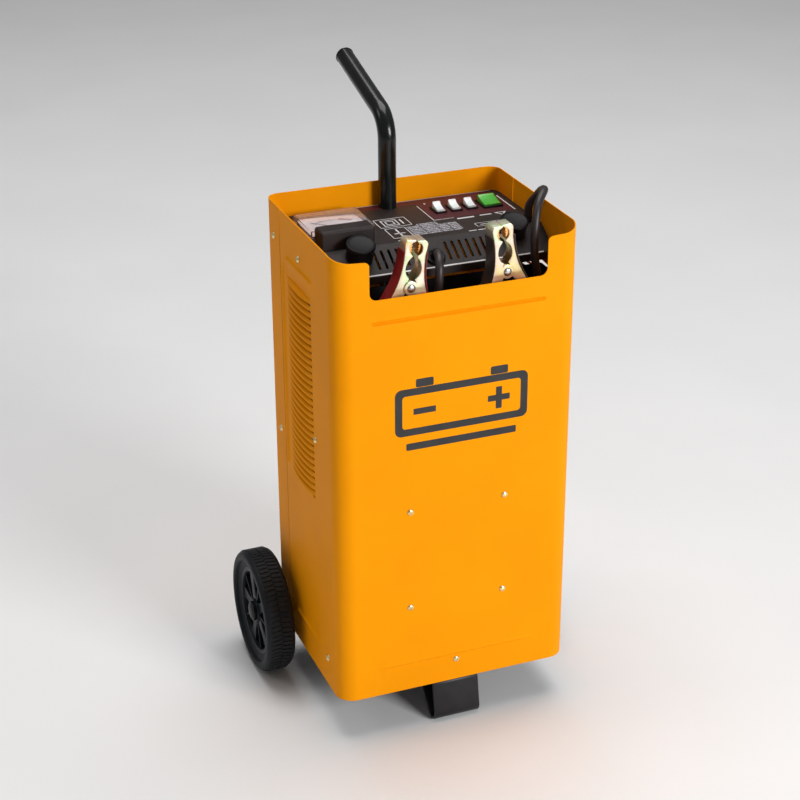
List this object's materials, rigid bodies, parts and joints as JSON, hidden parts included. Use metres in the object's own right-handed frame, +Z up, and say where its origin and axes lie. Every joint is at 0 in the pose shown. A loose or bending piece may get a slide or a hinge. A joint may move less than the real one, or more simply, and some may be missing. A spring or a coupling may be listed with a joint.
{
  "type": "wheeled battery charger",
  "caption": "Upright sheet-steel car battery charger on two wheels and a foot, with a bent pull handle, a recessed switch console and clamp leads stowed in a front pocket.",
  "frame": {"origin": "on the ground, under the middle of the charger's box without its free leads and clamps", "axes": "+Z up, +Y towards the back, where the handle points, and +X to the right seen from the front"},
  "size_m": [0.408, 0.3878, 0.7687],
  "materials": {
    "orange_paint": "glossy orange powder coat",
    "black_paint": "semi-gloss black paint",
    "handle_paint": "glossy black paint",
    "console_plastic": "finely textured",
    "black_plastic": "satin",
    "hub_plastic": "satin",
    "white_plastic": "smooth",
    "green_plastic": "smooth, lit from inside when on",
    "clear_plastic": "clear, polished",
    "dial_white": "printed",
    "needle_black": "painted black",
    "tyre_rubber": "matte",
    "zinc_steel": "bright zinc plate",
    "yellow_zinc": "yellow passivated zinc plate",
    "red_vinyl": "soft, dipped",
    "black_vinyl": "soft, dipped",
    "cable_rubber": "smooth",
    "core_steel": "varnished laminations",
    "copper": "enamelled wire",
    "aluminium": "extruded",
    "brass": "plain"
  },
  "bodies": {
    "cabinet": {"front_cover": "orange_paint", "rear_cover": "orange_paint", "base_pan": "black_paint", "front_foot": "black_paint", "storage_tray": "black_paint", "front_bracket": "zinc_steel", "front_cover_screw": "zinc_steel", "wheel_axle": "zinc_steel", "left_axle_cap": "black_plastic", "right_axle_cap": "black_plastic", "handle_tube": "handle_paint", "handle_end_cap": "black_plastic", "handle_saddle": "zinc_steel", "console": "console_plastic", "fuse_cover": "console_plastic", "fuse_link": "brass", "ammeter_lens": "clear_plastic", "ammeter_case": "black_plastic", "ammeter_dial": "dial_white", "charge_switch_housing_1": "black_plastic", "charge_switch_housing_2": "black_plastic", "charge_switch_housing_3": "black_plastic", "main_switch_housing": "black_plastic", "left_cable_post": "black_plastic", "right_cable_post": "black_plastic", "center_lead_gland": "black_plastic", "right_lead_gland": "black_plastic", "mains_gland": "black_plastic", "transformer_core": "core_steel", "primary_winding": "copper", "secondary_winding": "copper", "rectifier_heatsink": "aluminium", "rectifier_bridge": "black_plastic", "left_clamp_fixed_half": "yellow_zinc", "right_clamp_fixed_half": "yellow_zinc", "left_clamp_fixed_sleeve": "red_vinyl", "right_clamp_fixed_sleeve": "black_vinyl", "left_clamp_rivet": "zinc_steel", "right_clamp_rivet": "zinc_steel", "left_clamp_spring": "zinc_steel", "right_clamp_spring": "zinc_steel", "left_lead_upper": "cable_rubber", "left_lead_coil": "cable_rubber", "left_lead_lower": "cable_rubber", "right_lead_upper": "cable_rubber", "right_lead_coil": "cable_rubber", "right_lead_lower": "cable_rubber"},
    "left_wheel": {"left_tyre": "tyre_rubber", "left_hub": "hub_plastic"},
    "right_wheel": {"right_tyre": "tyre_rubber", "right_hub": "hub_plastic"},
    "charge_rocker_1": {"charge_rocker_1": "white_plastic"},
    "charge_rocker_2": {"charge_rocker_2": "white_plastic"},
    "charge_rocker_3": {"charge_rocker_3": "white_plastic"},
    "main_rocker": {"main_rocker": "green_plastic"},
    "needle": {"ammeter_needle": "needle_black"},
    "left_clamp_jaw": {"left_clamp_moving_half": "yellow_zinc", "left_clamp_moving_sleeve": "red_vinyl"},
    "right_clamp_jaw": {"right_clamp_moving_half": "yellow_zinc", "right_clamp_moving_sleeve": "black_vinyl"}
  },
  "joints": [
    {"name": "left_wheel_spin", "type": "hinge", "parent": "cabinet", "child": "left_wheel", "pos_m": [-0.185, 0.021, 0.0803], "axis": [1, 0, 0], "continuous": true},
    {"name": "right_wheel_spin", "type": "hinge", "parent": "cabinet", "child": "right_wheel", "pos_m": [0.185, 0.021, 0.0803], "axis": [1, 0, 0], "continuous": true},
    {"name": "charge_rocker_1_press", "type": "hinge", "parent": "cabinet", "child": "charge_rocker_1", "pos_m": [0.0526, 0.0035, 0.6061], "axis": [-1, 0, 0], "range_deg": [0, 32]},
    {"name": "charge_rocker_2_press", "type": "hinge", "parent": "cabinet", "child": "charge_rocker_2", "pos_m": [0.0734, 0.0035, 0.6061], "axis": [-1, 0, 0], "range_deg": [0, 32]},
    {"name": "charge_rocker_3_press", "type": "hinge", "parent": "cabinet", "child": "charge_rocker_3", "pos_m": [0.094, 0.0035, 0.6061], "axis": [-1, 0, 0], "range_deg": [0, 32]},
    {"name": "main_rocker_press", "type": "hinge", "parent": "cabinet", "child": "main_rocker", "pos_m": [0.1202, 0.0035, 0.6061], "axis": [-1, 0, 0], "range_deg": [0, 24]},
    {"name": "needle_swing", "type": "hinge", "parent": "cabinet", "child": "needle", "pos_m": [-0.085, -0.02, 0.6077], "axis": [0, 0, -1], "range_deg": [0, 90], "stiffness_Nm_per_rad": 0.0001},
    {"name": "left_clamp_open", "type": "hinge", "parent": "cabinet", "child": "left_clamp_jaw", "pos_m": [-0.0547, -0.165, 0.5835], "axis": [0, -1, 0], "range_deg": [0, 22], "stiffness_Nm_per_rad": 0.6, "springref_deg": -28.65},
    {"name": "right_clamp_open", "type": "hinge", "parent": "cabinet", "child": "right_clamp_jaw", "pos_m": [0.0644, -0.165, 0.5865], "axis": [0, 1, 0], "range_deg": [0, 22], "stiffness_Nm_per_rad": 0.6, "springref_deg": -28.65}
  ]
}
